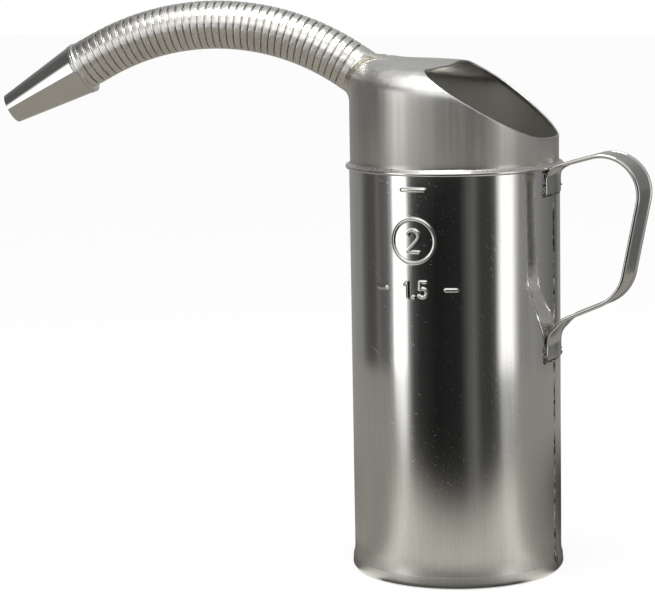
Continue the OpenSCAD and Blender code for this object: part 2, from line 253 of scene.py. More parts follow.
def link_origin(k):
    hinge = GROOVE + 1.5 * PLAY * along(0)
    for i in range(1, k):
        hinge = hinge + PITCH * along(i)
    return hinge - PLAY * along(k)


def matrix_of(origin, axes):
    m = Matrix.Identity(4)
    for i in range(3):
        for j in range(3):
            m[i][j] = axes[i, j]
        m[i][3] = origin[i] * MM
    return m


# Materials

class Nodes:
    """Builds the node tree of one material."""

    def __init__(self, name):
        self.material = bpy.data.materials.new(name)
        self.material.use_nodes = True
        self.tree = self.material.node_tree
        self.shader = self.tree.nodes["Principled BSDF"]
        self.output = self.tree.nodes["Material Output"]
        self.coords = self.tree.nodes.new("ShaderNodeTexCoord").outputs["Object"]

    def add(self, kind, values=None, **settings):
        node = self.tree.nodes.new(kind)
        for key, value in settings.items():
            setattr(node, key, value)
        for key, value in (values or {}).items():
            self.put(value, node.inputs[key])
        return node

    def put(self, value, socket):
        if isinstance(value, bpy.types.NodeSocket):
            self.tree.links.new(value, socket)
        else:
            socket.default_value = value

    def stretched(self, scale):
        """Object coordinates in metres, scaled along each axis."""
        node = self.add("ShaderNodeMapping", {"Vector": self.coords, "Scale": scale})
        return node.outputs["Vector"]

    def noise(self, vector, scale, detail=3.0, rough=0.55):
        node = self.add("ShaderNodeTexNoise",
                        {"Vector": vector, "Scale": scale, "Detail": detail, "Roughness": rough})
        return node.outputs["Fac"]

    def scratches(self, direction, across, lengthwise, level):
        """Thin scratches along a direction: high values of noise that is drawn out that way."""
        along_it = Vector(direction).normalized()
        turn = along_it.to_track_quat("X", "Z").to_euler()
        node = self.add("ShaderNodeMapping", {"Vector": self.coords, "Rotation": turn})
        node = self.add("ShaderNodeMapping", {"Vector": node.outputs["Vector"],
                                              "Scale": (lengthwise, across, across)})
        lines = self.noise(node.outputs["Vector"], 1.0, 1.0)
        return self.spread(lines, level, level + 0.07, 0.0, 1.0)

    def spread(self, value, low, high, to_low, to_high):
        """Maps low..high of a value to to_low..to_high, with the ends held."""
        node = self.add("ShaderNodeMapRange", {
            "Value": value, "From Min": low, "From Max": high, "To Min": to_low, "To Max": to_high})
        return node.outputs["Result"]

    def maths(self, operation, a, b=0.0):
        node = self.add("ShaderNodeMath", operation=operation)
        self.put(a, node.inputs[0])
        self.put(b, node.inputs[1])
        return node.outputs["Value"]

    def soft_step(self, value, low, high):
        """0 below low and 1 above high, with an even change between them."""
        node = self.add("ShaderNodeMapRange", {"Value": value, "From Min": low, "From Max": high},
                        interpolation_type="SMOOTHSTEP")
        return node.outputs["Result"]

    def mix(self, share, a, b, blend="MIX"):
        node = self.add("ShaderNodeMix", data_type="RGBA", blend_type=blend)
        self.put(share, node.inputs["Factor"])
        for value, socket in ((a, node.inputs[6]), (b, node.inputs[7])):
            self.put(value, socket)
        return node.outputs[2]

    def bump(self, height, distance, strength=1.0, normal=None):
        values = {"Height": height, "Distance": distance, "Strength": strength}
        if normal is not None:
            values["Normal"] = normal
        return self.add("ShaderNodeBump", values).outputs["Normal"]

    def finish(self, **sockets):
        names = {"colour": "Base Color", "roughness": "Roughness", "metallic": "Metallic",
                 "normal": "Normal"}
        for key, value in sockets.items():
            self.put(value, self.shader.inputs[names[key]])
        return self.material


def shade(r, g, b):
    return (r, g, b, 1.0)


def bright_tinplate():
    """Mirror-bright rolled sheet with fine slanting scratches, duller towards the foot."""
    n = Nodes("bright_tinplate")
    z = n.add("ShaderNodeSeparateXYZ", {"Vector": n.coords}).outputs["Z"]
    patches = n.noise(n.stretched((14, 14, 5)), 1.0, 4.0)
    height = n.maths("ADD", z, n.spread(patches, 0.3, 0.7, -0.03, 0.03))
    place = n.add("ShaderNodeSeparateXYZ", {"Vector": n.coords})
    x, y = place.outputs["X"], place.outputs["Y"]
    radius = n.maths("SQRT", n.maths("ADD", n.maths("MULTIPLY", x, x), n.maths("MULTIPLY", y, y)))
    outside = n.soft_step(radius, 0.0557, 0.0559)
    frost = n.maths("MULTIPLY", outside, n.spread(height, 0.105, 0.035, 0.0, 1.0))
    worn = n.maths("MULTIPLY", outside, n.soft_step(z, 0.018, 0.006))
    grain = n.noise(n.stretched((900, 900, 30)), 1.0, 2.0)
    marks = n.scratches((0.7, 0.3, 0.5), 1100, 55, 0.70)
    fine = n.scratches((-0.5, 0.2, 0.8), 1700, 120, 0.68)
    thin = n.maths("MAXIMUM", marks, n.maths("MULTIPLY", fine, 0.7))
    specks = n.spread(n.noise(n.coords, 900.0, 1.0), 0.80, 0.86, 0.0, 0.2)
    thin = n.maths("MAXIMUM", thin, specks)
    smooth = n.spread(patches, 0.3, 0.7, 0.085, 0.125)
    rough = n.maths("ADD", smooth, n.maths("MULTIPLY", frost, 0.10))
    rough = n.maths("ADD", rough, n.maths("MULTIPLY", worn, 0.16))
    rough = n.maths("ADD", rough, n.maths("MULTIPLY", thin, 0.18))
    colour = n.mix(n.spread(grain, 0.3, 0.7, 0.0, 1.0), shade(0.71, 0.70, 0.675), shade(0.77, 0.76, 0.735))
    normal = n.bump(grain, 0.00001, 0.5)
    return n.finish(metallic=1.0, colour=colour, roughness=rough, normal=normal)


def hood_lining_painted_light():
    """The hood's inner face in a brighter copy of its metal: painted light, for the light that comes in through the
    mouth.
    """
    n = Nodes("hood_lining_painted_light")
    cloud = n.noise(n.stretched((30, 30, 20)), 1.0, 3.0)
    grain = n.noise(n.stretched((700, 700, 40)), 1.0, 2.0)
    rough = n.maths("ADD", n.spread(cloud, 0.3, 0.7, 0.32, 0.40), n.spread(grain, 0.3, 0.7, 0.0, 0.04))
    colour = n.mix(cloud, shade(0.66, 0.645, 0.60), shade(0.76, 0.745, 0.70))
    return n.finish(metallic=1.0, colour=colour, roughness=rough, normal=n.bump(grain, 0.00001, 0.5))


def grey_tinplate():
    """Dull drawn sheet with upright brush marks."""
    n = Nodes("grey_tinplate")
    brush = n.noise(n.stretched((520, 520, 9)), 1.0, 4.0)
    wide = n.noise(n.stretched((150, 150, 6)), 1.0, 3.0)
    cloud = n.noise(n.stretched((22, 22, 16)), 1.0, 3.0)
    fine = n.noise(n.coords, 900.0, 2.0)
    rough = n.maths("ADD", n.spread(cloud, 0.3, 0.7, 0.30, 0.37), n.spread(brush, 0.3, 0.7, -0.04, 0.05))
    tone = n.maths("ADD", n.maths("MULTIPLY", cloud, 0.5), n.maths("MULTIPLY", wide, 0.5))
    colour = n.mix(n.spread(tone, 0.35, 0.65, 0.0, 1.0), shade(0.52, 0.515, 0.49), shade(0.63, 0.62, 0.59))
    normal = n.bump(brush, 0.00003, 0.6)
    normal = n.bump(fine, 0.00001, 0.5, normal)
    return n.finish(metallic=1.0, colour=colour, roughness=rough, normal=normal)


def strip_metal(name, low, high, dull, grained):
    """Bright worked sheet: fine grain and faint tarnish."""
    n = Nodes(name)
    grain = n.noise(n.coords, 700.0, 5.0, 0.7)
    stain = n.noise(n.coords, 60.0, 4.0)
    rough = n.maths("ADD", n.spread(stain, 0.3, 0.7, dull, dull + 0.04), n.spread(grain, 0.35, 0.7, 0.0, grained))
    colour = n.mix(n.spread(stain, 0.35, 0.75, 0.0, 1.0), low, high)
    normal = n.bump(grain, 0.00001 + 0.0003 * grained, 0.6)
    return n.finish(metallic=1.0, colour=colour, roughness=rough, normal=normal)


def wound_strip():
    """The hose's strip: scuffed round the turns, drawn with fine slanting strokes, greyed in places."""
    n = Nodes("hose_steel")
    local = n.add("ShaderNodeAttribute", attribute_name="local").outputs["Vector"]
    place = n.add("ShaderNodeSeparateXYZ", {"Vector": local})
    x, y, z = (place.outputs[axis] for axis in "XYZ")
    turn = n.maths("ARCTAN2", y, x)
    world = n.noise(n.coords, 45.0, 3.0)
    lane = n.add("ShaderNodeCombineXYZ", {
        "X": n.maths("MULTIPLY", turn, 3.2),
        "Y": n.maths("ADD", n.maths("MULTIPLY", z, 4200.0), n.maths("MULTIPLY", turn, 6.0)),
        "Z": n.maths("MULTIPLY", n.add("ShaderNodeSeparateXYZ", {"Vector": n.coords}).outputs["X"], 400.0)})
    strokes = n.noise(lane.outputs["Vector"], 1.0, 3.0, 0.6)
    blotch = n.noise(n.coords, 330.0, 3.0, 0.6)
    stroke = n.spread(strokes, 0.42, 0.66, 0.0, 1.0)
    stain = n.spread(n.maths("ADD", n.maths("MULTIPLY", blotch, 0.5), n.maths("MULTIPLY", world, 0.5)),
                     0.38, 0.62, 0.0, 1.0)
    colour = n.mix(stain, shade(0.66, 0.64, 0.595), shade(0.80, 0.79, 0.755))
    colour = n.mix(n.maths("MULTIPLY", stroke, 0.6), colour, shade(0.86, 0.855, 0.83))
    dark = n.spread(strokes, 0.44, 0.30, 0.0, 0.55)
    colour = n.mix(dark, colour, shade(0.40, 0.39, 0.35))
    rough = n.maths("ADD", n.spread(blotch, 0.3, 0.7, 0.17, 0.24), n.maths("MULTIPLY", stroke, 0.10))
    normal = n.bump(strokes, 0.00005, 0.8)
    return n.finish(metallic=1.0, colour=colour, roughness=rough, normal=normal)


def solder_metal(name, low, high, rough_low, rough_high, rugged):
    """Uneven tin with flux stains."""
    n = Nodes(name)
    lump = n.noise(n.coords, 420.0, 6.0, 0.7)
    stain = n.noise(n.coords, 170.0, 4.0)
    colour = n.mix(n.spread(stain, 0.38, 0.62, 0.0, 1.0), low, high)
    rough = n.spread(lump, 0.3, 0.7, rough_low, rough_high)
    return n.finish(metallic=1.0, colour=colour, roughness=rough, normal=n.bump(lump, rugged, 0.8))


# Pressed marks on the wall

def to_segment(u, v, a, b):
    a, b = np.array(a), np.array(b)
    d = b - a
    t = np.clip(((u - a[0]) * d[0] + (v - a[1]) * d[1]) / (d @ d), 0, 1)
    return np.hypot(u - a[0] - t * d[0], v - a[1] - t * d[1])


def to_arc(u, v, c, r, a0, a1):
    """Distance to an arc from angle a0 to a1, in degrees."""
    turn = (np.degrees(np.arctan2(v - c[1], u - c[0])) - a0) % 360
    on_arc = turn <= a1 - a0
    ends = [(c[0] + r * math.cos(math.radians(a)), c[1] + r * math.sin(math.radians(a))) for a in (a0, a1)]
    to_ends = np.minimum(*[np.hypot(u - e[0], v - e[1]) for e in ends])
    return np.where(on_arc, np.abs(np.hypot(u - c[0], v - c[1]) - r), to_ends)


def on_circle(c, r, a):
    return (c[0] + r * math.cos(math.radians(a)), c[1] + r * math.sin(math.radians(a)))


def digit_two(u, v, h):
    r = 0.27 * h
    c = (0, h / 2 - r)
    return np.minimum.reduce([
        to_arc(u, v, c, r, -38, 165),
        to_segment(u, v, on_circle(c, r, -38), (-r, -h / 2)),
        to_segment(u, v, (-r, -h / 2), (r, -h / 2))])


def digit_one(u, v, h):
    return np.minimum(to_segment(u, v, (0, -h / 2), (0, h / 2)),
                      to_segment(u, v, (0, h / 2), (-0.2 * h, 0.3 * h)))


def digit_five(u, v, h):
    r = 0.29 * h
    c = (0, -h / 2 + r)
    return np.minimum.reduce([
        to_arc(u, v, c, r, -140, 125),
        to_segment(u, v, on_circle(c, r, 125), (-0.5 * r, h / 2)),
        to_segment(u, v, (-0.5 * r, h / 2), (0.8 * r, h / 2))])


def ridge(distance, width):
    """Height of a rounded pressed line at a distance from its middle."""
    t = np.clip(distance / (0.62 * width), 0, 1)
    return RELIEF * (1 - t * t) ** 2 * (1 + 0.6 * t * t)


def marks_height(u, v):
    """Relief of all the marks at (u, v), the sideways place and height on the front."""
    half = (MARK_W - MARK_H) / 2
    heights = [
        ridge(to_segment(u, v - FILL_Z, (-half, 0), (half, 0)), MARK_H),
        ridge(np.abs(np.hypot(u, v - RING_Z) - (RING_D - STROKE) / 2), STROKE),
        ridge(digit_two(u, v - RING_Z, NUMBER_H), STROKE),
        ridge(digit_one(u + 0.45 * SMALL_H, v - LOWER_Z, SMALL_H), STROKE),
        ridge(np.hypot(u, v - LOWER_Z + SMALL_H / 2), 1.2 * STROKE),
        ridge(digit_five(u - 0.6 * SMALL_H, v - LOWER_Z, SMALL_H), STROKE)]
    bar_in = 2.1 * SMALL_H
    bar_out = bar_in + MARK_W / 2 - MARK_H
    for side in (-1, 1):
        bar = to_segment(u, v - LOWER_Z, (side * bar_in, 0), (side * bar_out, 0))
        heights.append(ridge(bar, MARK_H))
    return np.maximum.reduce(heights)


# Pieces of the jug's body

def stations(stops):
    """Values from (start, step) stops up to the last stop, each stretch with its own step."""
    out = []
    for (a, step), (b, _) in zip(stops, stops[1:]):
        count = max(1, round((b - a) / step))
        out += list(a + (b - a) * np.arange(count) / count)
    return np.array(out + [stops[-1][0]])


def body_wall(material):
    """The rolled wall with its flare, rolled top edge and pressed marks."""
    fine = 0.36
    side = math.degrees(28.0 / BODY_R)
    step = math.degrees(fine / BODY_R)
    turn = stations([(-90 - side, step), (-90 + side, 2.0), (270 - side, 1.0)])[:-1]
    heights = stations([(FLARE_TOP, 2.5), (LOWER_Z - 7, fine), (LOWER_Z + 7, fine * 2), (RING_Z - 14, fine),
                        (RING_Z + 14, fine * 1.5), (FILL_Z - 2, fine), (FILL_Z + 2, 0.8),
                        (BEAD_Z - BEAD_R, 1.0)])
    flare = np.linspace(0, 1, 11)[:-1]
    foot = [(FLARE_R + (BODY_R - FLARE_R) * t * (2 - t), FOOT_H - 1 + t * (FLARE_TOP - FOOT_H + 1)) for t in flare]
    wall = [(BODY_R, z) for z in heights]
    bead_c = BORE_R + BEAD_R
    bead = [(bead_c + BEAD_R * math.cos(a), BEAD_Z + BEAD_R * math.sin(a))
            for a in np.radians(np.linspace(-120, 180, 22))]
    inner = [(BORE_R, z) for z in np.linspace(BEAD_Z - 3, FLOOR_Z + 0.05, 50)]
    outline = np.array([(FLARE_R, 1.6)] + foot + wall + bead + inner + [(FLARE_R - SHEET, 1.6)])
    a = np.radians(turn)
    r = np.repeat(outline[:, :1], len(a), 1)
    z = np.repeat(outline[:, 1:], len(a), 1)
    on_wall = slice(1 + len(foot), 1 + len(foot) + len(wall))
    u = BODY_R * np.sin(a + math.pi / 2)[None] * np.ones_like(z)
    lift = np.zeros_like(r)
    lift[on_wall] = marks_height(u, z)[on_wall] * (np.sin(a) < 0)[None]
    flat = np.stack([r * np.cos(a), r * np.sin(a), z], -1).reshape(-1, 3)
    dents = 0.018 * wobble(flat * [1, 1, 0.35], 26, 3) + 0.035 * wobble(flat * [1, 1, 0.3], 70, 4)
    r = r + lift + dents.reshape(r.shape) * np.clip((BEAD_Z - 4 - z) / 12, 0, 1) * np.clip((z - 9) / 12, 0, 1)
    points = np.stack([r * np.cos(a), r * np.sin(a), z], -1).reshape(-1, 3)
    obj = new_object("body_wall", points, grid_faces(len(outline), len(a), True, True))
    obj.data.materials.append(material)
    sharpen(obj, 50)
    return obj


def foot_ring(material):
    """The floor with its rim folded round the wall's flare and rounded under it."""
    leg = FOOT_R - 3 * SHEET - 0.25
    rim = FOOT_R - 0.25
    bulge = [(rim - 0.28, FOOT_H), (rim, 2.6), (rim, 1.7), (rim - 1.3, 0.0)]
    outline = rounded(
        [(0.01, FLOOR_Z - SHEET), (leg, FLOOR_Z - SHEET), (leg, 0)] + bulge[::-1]
        + [(rim - 0.34, FOOT_H), (rim - SHEET, 3.0), (rim - SHEET, 1.6), (leg + SHEET, 0.45),
           (leg + SHEET, FLOOR_Z), (0.01, FLOOR_Z)],
        [0, 0.5, 0.15, 0.4, 0.9, 1.4, 0.02, 0.02, 0.5, 0.3, 0.1, 0.5, 0], 6)
    points, faces = lathe(outline, 240)
    obj = new_object("foot_ring", points, faces)
    obj.data.materials.append(material)
    sharpen(obj, 40)
    return obj


def seam_solder(material):
    """Solder along the lap of the wall, below and between the handle's feet."""
    parts = [(3.0, low_foot_z - 2.4), (low_foot_z + FOOT_LEN + 2.4, up_foot_z - 2.4)]
    all_points, all_faces, start = [], [], 0
    for z0, z1 in parts:
        rows, cols = int((z1 - z0) / 0.7), 9
        z, y = np.meshgrid(np.linspace(z0, z1, rows), np.linspace(-1, 1, cols), indexing="ij")
        line = np.stack([np.zeros(rows * cols), np.zeros(rows * cols), z.ravel()], -1)
        half = 0.95 + 0.25 * wobble(line, 7, 11)
        y = y.ravel() * half + 0.12 * wobble(line, 30, 12)
        spots = np.stack([y * 2, np.zeros_like(y), z.ravel()], -1)
        lift = (1 - (y / 1.3) ** 2).clip(0) * (0.24 + 0.11 * wobble(spots, 2.6, 13)).clip(0.04)
        flared = ((FLARE_TOP - z.ravel()) / (FLARE_TOP - FOOT_H)).clip(0, 1)
        wall = BODY_R + (FOOT_R - 0.25 - BODY_R) * flared ** 2 * (3 - 2 * flared)
        top = np.stack([np.sqrt(wall ** 2 - y ** 2) + lift + 0.03, y, z.ravel()], -1)
        bottom = np.stack([np.sqrt(wall ** 2 - y ** 2) - 0.03, y, z.ravel()], -1)
        points, faces = closed_patch(top, bottom, rows, cols, np.ones((rows - 1, cols - 1), bool))
        all_points.append(points)
        all_faces += [[i + start for i in f] for f in faces]
        start += len(points)
    obj = new_object("seam_solder", np.vstack(all_points), all_faces)
    obj.data.materials.append(material)
    return obj


# Hood

def turned(points, angle):
    """Points turned about Z by an angle in degrees."""
    c, s = math.cos(math.radians(angle)), math.sin(math.radians(angle))
    return points @ np.array([[c, s, 0], [-s, c, 0], [0, 0, 1]])


def outside_hood(p):
    """Signed distance from the hood's outer surface, in the mouth's own direction."""
    wall = np.hypot(p[:, 0], p[:, 1]) - HOOD_R
    c, s = math.cos(math.radians(ROOF_LEAN)), math.sin(math.radians(ROOF_LEAN))
    x, z = p[:, 0], p[:, 2] - SHOULDER_Z
    qx, qz = c * x - s * z, s * x + c * z
    out = np.hypot(qx, p[:, 1]) - SHOULDER_C
    roof = np.where(out > 0, np.hypot(out.clip(0), qz), qz) - SHOULDER_R
    below = np.minimum(out.clip(0) - SHOULDER_R, -0.3) + 0.5 * qz
    roof = np.where(qz > 0, roof, below)
    soft = 1.2
    h = np.clip(0.5 + 0.5 * (wall - roof) / soft, 0, 1)
    return roof + (wall - roof) * h + soft * h * (1 - h)


def to_hood(p, centre):
    """Points moved along the line from centre onto the hood's surface."""
    d = p - centre
    d /= np.linalg.norm(d, axis=1, keepdims=True)
    near, far = np.zeros(len(p)), np.full(len(p), 120.0)
    for _ in range(40):
        mid = (near + far) / 2
        outside = outside_hood(centre + d * mid[:, None]) > 0
        far = np.where(outside, mid, far)
        near = np.where(outside, near, mid)
    return centre + d * near[:, None]


def hood_normal(p):
    step = 0.05
    axes = np.eye(3) * step
    g = np.stack([outside_hood(p + a) - outside_hood(p - a) for a in axes], -1)
    return g / np.linalg.norm(g, axis=1, keepdims=True)


def mouth_height(x):
    """Height of the mouth's edge at a place x towards the handle."""
    line = EDGE_Z - x * math.tan(math.radians(MOUTH_SLOPE))
    arc = MOUTH_CZ - np.sqrt(np.clip(MOUTH_R ** 2 - (x - MOUTH_CX) ** 2, 0, None))
    touch = MOUTH_CX - MOUTH_R * math.sin(math.radians(MOUTH_SLOPE))
    return np.where(x < touch, line, np.where(x < MOUTH_CX, arc, EDGE_LOW))


def mouth_edge(count):
    """Evenly spaced points round the mouth, on the hood's outer surface."""
    centre_x = 20.0
    a = np.linspace(0, 2 * math.pi, 4000, endpoint=False)
    near, far = np.zeros(len(a)), np.full(len(a), 70.0)
    for _ in range(40):
        mid = (near + far) / 2
        x, y = centre_x + mid * np.cos(a), mid * np.sin(a)
        outside = outside_hood(np.stack([x, y, mouth_height(x)], -1)) > 0
        far = np.where(outside, mid, far)
        near = np.where(outside, near, mid)
    x, y = centre_x + near * np.cos(a), near * np.sin(a)
    edge = np.stack([x, y, mouth_height(x)], -1)
    width = 45
    for _ in range(2):
        edge = sum(np.roll(edge, k, 0) for k in range(-width, width + 1)) / (2 * width + 1)
    edge = to_hood(edge, np.array([0, 0, 235.0]))
    loop = np.vstack([edge, edge[:1]])
    run = np.concatenate([[0], np.cumsum(np.linalg.norm(np.diff(loop, axis=0), axis=1))])
    at = np.arange(count) * run[-1] / count
    return np.stack([np.interp(at, run, loop[:, i]) for i in range(3)], -1)


# Section of the hem: distance back from the mouth's edge and height over the outer surface
HEM = [(2.6, 0.0), (1.2, 0.0), (0.5, -0.02), (0.18, -0.12), (0.02, -0.34), (0.0, -0.6), (0.06, -0.86),
       (0.25, -1.03), (0.6, -1.1), (1.35, -1.1), (1.65, -1.02), (1.76, -0.8), (1.78, -0.52), (2.6, -0.5)]


# Where the roof is worked up or down by hand: place in plan, rise and reach
ROOF_WAVES = [(-5.0, 26.0, 1.5, 9.0), (-26.0, 16.0, -0.9, 10.0), (-42.0, 6.0, 0.7, 8.0)]


def hood_skin(material, lining):
    """The hood as one closed sheet: skirt, wall, leaning roof and the hem round the mouth."""
    count, rows = 420, 64
    centre = np.array([0, 0, 235.0])
    edge = mouth_edge(count)
    tangent = np.roll(edge, -1, 0) - np.roll(edge, 1, 0)
    tangent /= np.linalg.norm(tangent, axis=1, keepdims=True)
    away = np.cross(tangent, hood_normal(edge))
    hem = []
    for back, lift in HEM:
        p = to_hood(edge + away * back, centre)
        hem.append(p + hood_normal(p) * lift)
    angle = np.arctan2(edge[:, 1], edge[:, 0] - 12.0)
    foot = np.stack([HOOD_R * np.cos(angle), HOOD_R * np.sin(angle), np.full(count, HOOD_LOW)], -1)
    skirt = [foot + [0, 0, z] for z in (0.0, 3.0, 7.5)]
    outer, inner = [], []
    top = to_hood(edge + away * HEM[0][0], centre)
    for t in np.linspace(0, 1, rows)[1:-1]:
        p = to_hood(skirt[-1] * (1 - t) + top * t, centre)
        outer.append(p)
        inner.append(p - hood_normal(p) * HOOD_T)
    inside = [row * [1 - HOOD_T / HOOD_R, 1 - HOOD_T / HOOD_R, 1] for row in skirt]
    layers = skirt + outer + hem + inner[::-1] + inside[::-1]
    points = np.vstack(layers)
    points = points + hood_normal(points) * (0.05 * wobble(points, 34, 21))[:, None]
    points = turned(points, MOUTH_TURN)
    for x, y, rise, reach in ROOF_WAVES:
        near = np.exp(-((points[:, 0] - x) ** 2 + (points[:, 1] - y) ** 2) / (2 * reach ** 2))
        points[:, 2] += rise * near * np.clip((points[:, 2] - SHOULDER_Z) / SHOULDER_R, 0, 1)
    faces = grid_faces(len(layers), count, wrap_rows=True, wrap_cols=True)
    centres = points[faces].mean(1) - GROOVE
    run = centres @ along(0)
    off = np.linalg.norm(centres - run[:, None] * along(0), axis=1)
    hole = (off < HOSE_R + 0.2) & (run > -60) & (centres[:, 0] + GROOVE[0] < 0)
    obj = new_object("hood_skin", points, faces[~hole])
    obj.data.materials.append(material)
    obj.data.materials.append(lining)
    first_inner = (len(skirt) + len(outer) + len(hem) - 1) * count
    for polygon in obj.data.polygons:
        polygon.material_index = int(min(polygon.vertices) >= first_inner)
    return obj


def hood_joint(material):
    """A smooth fillet of solder in the corner between the hood and the rolled edge."""
    base = BEAD_Z + BEAD_R
    points, faces = lathe(rounded([(HOOD_R + 0.03, base - 0.1), (HOOD_R + 1.25, base - 0.05), (HOOD_R + 0.35, base + 0.3),
                                   (HOOD_R + 0.03, base + 1.1)], 0.2, 3), 360)
    grow = 1 + 0.25 * wobble(points * [1, 1, 0], 26, 31)
    points[:, 2] = base + (points[:, 2] - base) * grow.clip(0.4)
    obj = new_object("hood_joint", points, faces)
    obj.data.materials.append(material)
    return obj


# Handle

def strap_path():
    """Points and left-hand normals along the strap, and how far each is from a foot's end."""
    points = [np.array(c) for c in CORNERS]
    points = [points[0] - [0, 60]] + points + [points[-1] - [0, 60]]
    line = []
    for i, radius in enumerate(BENDS, 1):
        p, a, b = points[i], unit(points[i - 1] - points[i]), unit(points[i + 1] - points[i])
        half = math.acos(np.clip(a @ b, -1, 1)) / 2
        reach = radius / math.tan(half)
        centre = p + unit(a + b) * radius / math.sin(half)
        start, end = p + a * reach - centre, p + b * reach - centre
        sweep = math.pi - 2 * half
        steps = max(6, round(sweep * radius / 1.1))
        for k in range(steps + 1):
            t = k / steps
            line.append(centre + (math.sin((1 - t) * sweep) * start + math.sin(t * sweep) * end) / math.sin(sweep))
    top, low = line[0][1], line[-1][1]
    line = [np.array([ROOT_X, z]) for z in np.linspace(top - FOOT_LEN, top, 9)[:-1]] + line
    line += [np.array([ROOT_X, z]) for z in np.linspace(low, low - FOOT_LEN, 9)[1:]]
    dense = [line[0]]
    for p in line[1:]:
        gap = np.linalg.norm(p - dense[-1])
        for k in range(1, max(1, round(gap / 1.2)) + 1):
            dense.append(dense[-1] + (p - dense[-1]) / (max(1, round(gap / 1.2)) + 1 - k))
    line = np.array(dense)
    tangent = np.gradient(line, axis=0)
    tangent /= np.linalg.norm(tangent, axis=1, keepdims=True)
    normal = np.stack([-tangent[:, 1], tangent[:, 0]], -1)
    return line, normal, top - FOOT_LEN, low - FOOT_LEN


strap_line, strap_normal, up_foot_z, low_foot_z = strap_path()


def strap(material):
    """The handle's strap with both edges rolled, pressed flat on the wall at its feet."""
    junction = math.degrees(math.asin(WEB_T / 2 / EDGE_R))
    arc = np.radians(np.linspace(180 - junction, -180 + junction, 15))
    edge_y = STRAP_W / 2 - EDGE_R
    right = [(edge_y + EDGE_R * math.cos(a), EDGE_R * math.sin(a)) for a in arc]
    web = [(y, WEB_T / 2) for y in np.linspace(-edge_y + 2, edge_y - 2, 7)]
    top = web + right
    section = np.array(top + [(-y, -n) for y, n in top])
    z, x = strap_line[:, 1], strap_line[:, 0]
    on_wall = np.clip((BODY_R + 4.5 - x) / 3.5, 0, 1)
    on_wall = on_wall * on_wall * (3 - 2 * on_wall)
    y = section[:, 0][None] * np.ones_like(z)[:, None]
    thin = 1 - 0.42 * on_wall[:, None]
    n = section[:, 1][None] * thin
    sink = on_wall[:, None] * (BODY_R - np.sqrt(BODY_R ** 2 - y ** 2))
    points = np.stack([strap_line[:, :1] + strap_normal[:, :1] * n - sink, y,
                       strap_line[:, 1:] + strap_normal[:, 1:] * n], -1).reshape(-1, 3)
    points[:, 1] += 0.12 * wobble(points, 60, 41)
    rows, cols = len(z), len(section)
    faces = [list(f) for f in grid_faces(rows, cols, wrap_cols=True)]
    faces += [list(range(cols))[::-1], list(range((rows - 1) * cols, rows * cols))]
    obj = new_object("strap", points, faces)
    obj.data.materials.append(material)
    sharpen(obj, 60)
    return obj


def foot_solder(name, z0, seed, material):
    """Rough solder round the sides and lower end of a foot."""
    half, step = STRAP_W / 2, 0.4
    y, z = np.meshgrid(np.arange(-half - 4, half + 4.01, step), np.arange(z0 - 3.6, z0 + FOOT_LEN + 2.4, step))
    rows, cols = y.shape
    y, z = y.ravel(), z.ravel()
    out_y, out_z = np.abs(y) - half, z0 - z
    outline = np.where((out_y < 0) & (out_z < 0), -np.maximum(out_y, out_z),
                       np.hypot(out_y.clip(0), out_z.clip(0)))
    spots = np.stack([y, z, np.zeros_like(y)], -1)
    fade = np.clip((z0 + FOOT_LEN + 1.2 - z) / 2.5, 0, 1)
    sides = np.where(out_y > -1.2, 1.0, 0.55)
    lift = (1.1 * np.exp(-(outline / 1.25) ** 2) * fade * sides
            * (0.75 + 0.55 * wobble(spots, 3.2, seed) + 0.3 * wobble(spots, 1.4, seed + 1)))
    keep = lift > 0.09
    arc_x = np.sqrt(BODY_R ** 2 - y ** 2)
    normal = np.stack([arc_x, y], -1) / BODY_R
    top = np.stack([arc_x + normal[:, 0] * lift, y + normal[:, 1] * lift, z], -1)
    bottom = np.stack([arc_x - 0.05, y, z], -1)
    grid = keep.reshape(rows, cols)
    quads = grid[:-1, :-1] & grid[1:, :-1] & grid[:-1, 1:] & grid[1:, 1:]
    points, faces = closed_patch(top, bottom, rows, cols, quads)
    obj = new_object(name, points, faces)
    obj.data.materials.append(material)
    return obj


# Spout

def placed(obj, origin, axes):
    """Moves a mesh to its place on the spout; its points in their own frame stay as "local"."""
    mesh = obj.data
    points = np.empty(3 * len(mesh.vertices))
    mesh.vertices.foreach_get("co", points)
    mesh.attributes.new("local", "FLOAT_VECTOR", "POINT").data.foreach_set("vector", points)
    points = points.reshape(-1, 3) @ axes.T + origin * MM
    mesh.vertices.foreach_set("co", points.ravel())
    mesh.update()
    return obj


def turn_outline():
    crown = [(HOSE_R - 0.03, 0.0), (HOSE_R, 0.5), (HOSE_R, BAND - 0.5), (HOSE_R - 0.03, BAND)]
    inside = [(BED_R, BAND), (BED_R, BED_END - STRIP), (BED_HOOK, BED_END - STRIP), (BED_HOOK, BED_END),
              (BORE, BED_END), (BORE, BAND - STRIP), (BAND_IN, BAND - STRIP), (BAND_IN, STRIP),
              (HOOK_IN, STRIP), (HOOK_IN, 0.0)]
    radii = [0.14, 0, 0, 0.14] + [0.1] * len(inside)
    return rounded(crown + inside, radii, 3)


def hose_turn(k, material):
    points, faces = lathe(turn_outline(), 96)
    obj = new_object(f"hose_turn_{k:02d}", points, faces)
    obj.data.materials.append(material)
    sharpen(obj, 50)
    return placed(obj, link_origin(k), hose_axes(k))


